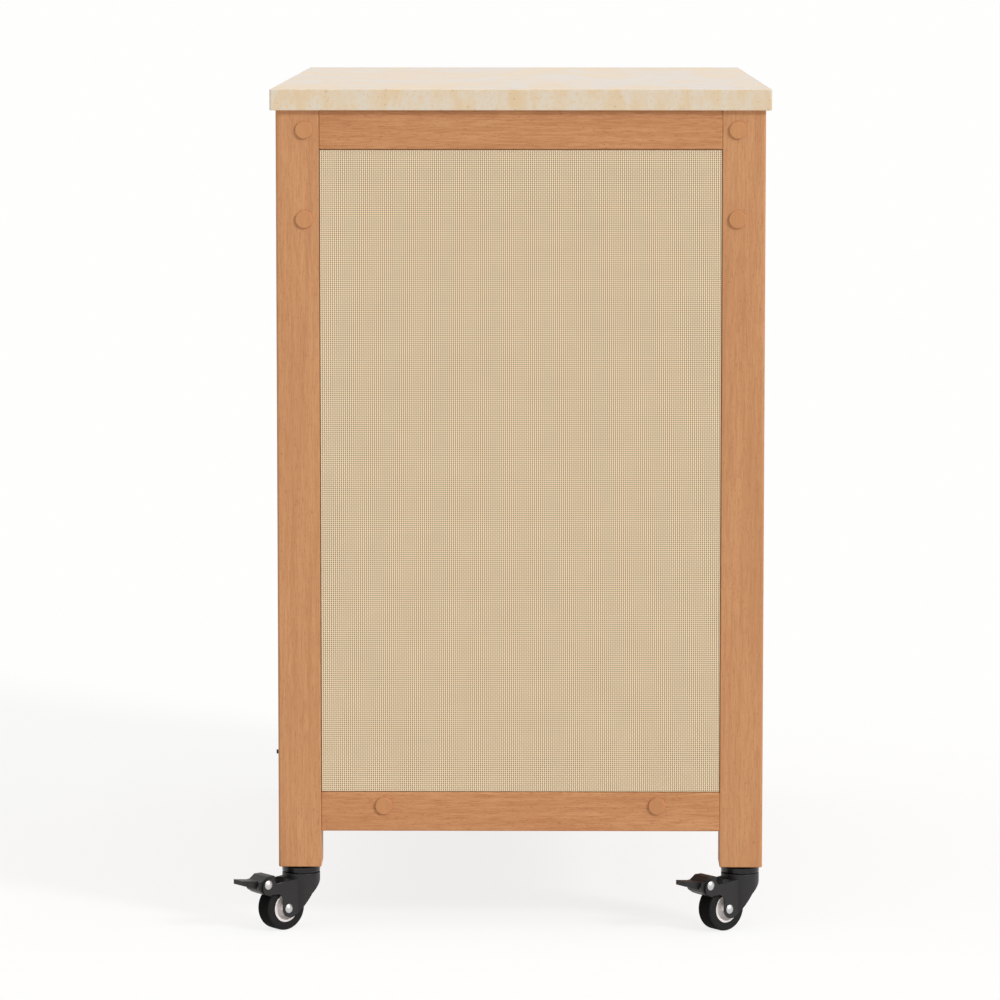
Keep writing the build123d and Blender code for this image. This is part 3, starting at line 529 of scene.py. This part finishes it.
def makeShelf(node, shelf):
    low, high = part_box(node)
    thickness = high.z - low.z
    zone = slat["shelfLength"]
    pitch = (zone + slat["gap"]) / shelf["count"]
    width = pitch - slat["gap"]
    centre = (low + high) / 2
    start = (centre.x, centre.y - zone / 2 + width / 2, centre.z)
    rows = [rowOfSlats(node, shelf["count"], pitch, start, (high.x - low.x, width, thickness), shelf["seed"])]
    if shelf["ends"]:
        # the end slats are shorter, because they lie between the posts
        railLow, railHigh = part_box("top_rail_near")
        length = railHigh.x - railLow.x - 2 * slat["endPlay"]
        reach = zone / 2 + slat["gap"] + slat["endWidth"] / 2
        rows.append(rowOfSlats(
            node + "Ends", 2, 2 * reach, (centre.x, centre.y - reach, centre.z),
            (length, slat["endWidth"], thickness), shelf["seed"] + 1))
    piece = joined(node.replace("_", "") + "Wood", rows)
    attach(piece, "cart_frame")
    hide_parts(node)


for node, shelf in shelves.items():
    makeShelf(node, shelf)
print("slatted shelves made")


# Woven end panels: each is one sheet glued over its board's raised field
panelWeave = {
    "cells": (74, 118),
    "belly": 0.00012,  # a stretched cloth still gives a little in the middle
}


def makeWoven(end):
    node = "woven_panel_" + end
    low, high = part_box(node)
    across, up = panelWeave["cells"]
    work = bmesh.new()
    layers = []
    for y, outward in ((low.y, -1), (high.y, 1)):
        grid = []
        for j in range(up + 1):
            row = []
            for i in range(across + 1):
                u, v = i / across, j / up
                depth = -outward * panelWeave["belly"] * math.sin(math.pi * u) * math.sin(math.pi * v)
                x = low.x + u * (high.x - low.x)
                z = low.z + v * (high.z - low.z)
                row.append(work.verts.new((x, y + depth, z)))
            grid.append(row)
        layers.append(grid)
        for j in range(up):
            for i in range(across):
                corners = [grid[j][i], grid[j][i + 1], grid[j + 1][i + 1], grid[j + 1][i]]
                work.faces.new(corners if outward < 0 else corners[::-1])

    # the cut edge all round, from the front layer to the back one
    front, back = layers
    for i in range(across):
        for j in (0, up):
            work.faces.new((front[j][i], front[j][i + 1], back[j][i + 1], back[j][i]))
    for j in range(up):
        for i in (0, across):
            work.faces.new((front[j][i], front[j + 1][i], back[j + 1][i], back[j][i]))
    bmesh.ops.recalc_face_normals(work, faces=work.faces)
    mesh = bpy.data.meshes.new("wovenSheet")
    work.to_mesh(mesh)
    work.free()
    mesh.materials.append(finishes["cloth"])
    piece = bpy.data.objects.new("wovenSheet" + end.capitalize(), mesh)
    bpy.context.scene.collection.objects.link(piece)
    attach(piece, "cart_frame")
    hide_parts(node)


for end in ("near", "far"):
    makeWoven(end)
print("woven panels made")


# Studio: a wide pale floor under an even white surround, a key from the right in front and a wide top light
studio = {
    "floorSize": 400.0,
    "floor": "F2F1EF",
    "floorSeen": "7A7978",  # to the camera most of the floor's white is its own, so shadows stay light
    "floorLift": 0.82,
    "floorRoughness": 0.9,
    "fill": 0.35,
}
lamps = {
    # soft is the angle that a lamp fills, in degrees
    "softKey": {"energy": 1.65, "from": (0.68, -0.55, 0.48), "soft": 12.0},
    "topLight": {"energy": 0.95, "from": (0.0, -0.2, 1.0), "soft": 80.0},
}


def seenDirectly(tree):
    # 1 for what the camera, a reflection or a clear piece shows, and 0 for the light on things
    path = add(tree, "ShaderNodeLightPath").outputs
    seen = add(tree, "ShaderNodeMath", {
        0: path["Is Camera Ray"], 1: path["Is Glossy Ray"]}, operation="MAXIMUM").outputs[0]
    return add(tree, "ShaderNodeMath", {
        0: seen, 1: path["Is Transmission Ray"]}, operation="MAXIMUM").outputs[0]


def makeStudio():
    bpy.ops.mesh.primitive_plane_add(size=studio["floorSize"])
    floor = bpy.context.active_object
    floor.name = "studioFloor"
    material, tree, shader = startMaterial("paintedStudioFloor", 0.0)
    seen = seenDirectly(tree)
    paint = add(tree, "ShaderNodeMix", {
        0: seen, 6: linear(studio["floor"]), 7: linear(studio["floorSeen"])}, data_type="RGBA")
    lift = add(tree, "ShaderNodeMath", {0: seen, 1: studio["floorLift"]}, operation="MULTIPLY")
    tree.links.new(paint.outputs[2], shader.inputs["Base Color"])
    tree.links.new(lift.outputs[0], shader.inputs["Emission Strength"])
    shader.inputs["Emission Color"].default_value = (1, 1, 1, 1)
    shader.inputs["Roughness"].default_value = studio["floorRoughness"]
    floor.data.materials.append(material)

    world = bpy.data.worlds.new("whiteStudio")
    bpy.context.scene.world = world
    world.use_nodes = True
    tree = world.node_tree
    tree.nodes.clear()
    level = add(tree, "ShaderNodeMapRange", {0: seenDirectly(tree), 3: studio["fill"]})
    sky = add(tree, "ShaderNodeBackground", {"Color": (1, 1, 1, 1), "Strength": level.outputs[0]})
    add(tree, "ShaderNodeOutputWorld", {"Surface": sky.outputs[0]})

    for name, light in lamps.items():
        lamp = bpy.data.lights.new(name, "SUN")
        lamp.energy = light["energy"]
        lamp.angle = math.radians(light["soft"])
        sun = bpy.data.objects.new(name, lamp)
        bpy.context.scene.collection.objects.link(sun)
        sun.rotation_euler = Vector(light["from"]).to_track_quat("Z", "Y").to_euler()
    bpy.context.scene.view_settings.view_transform = "Standard"


makeStudio()
print("studio made")
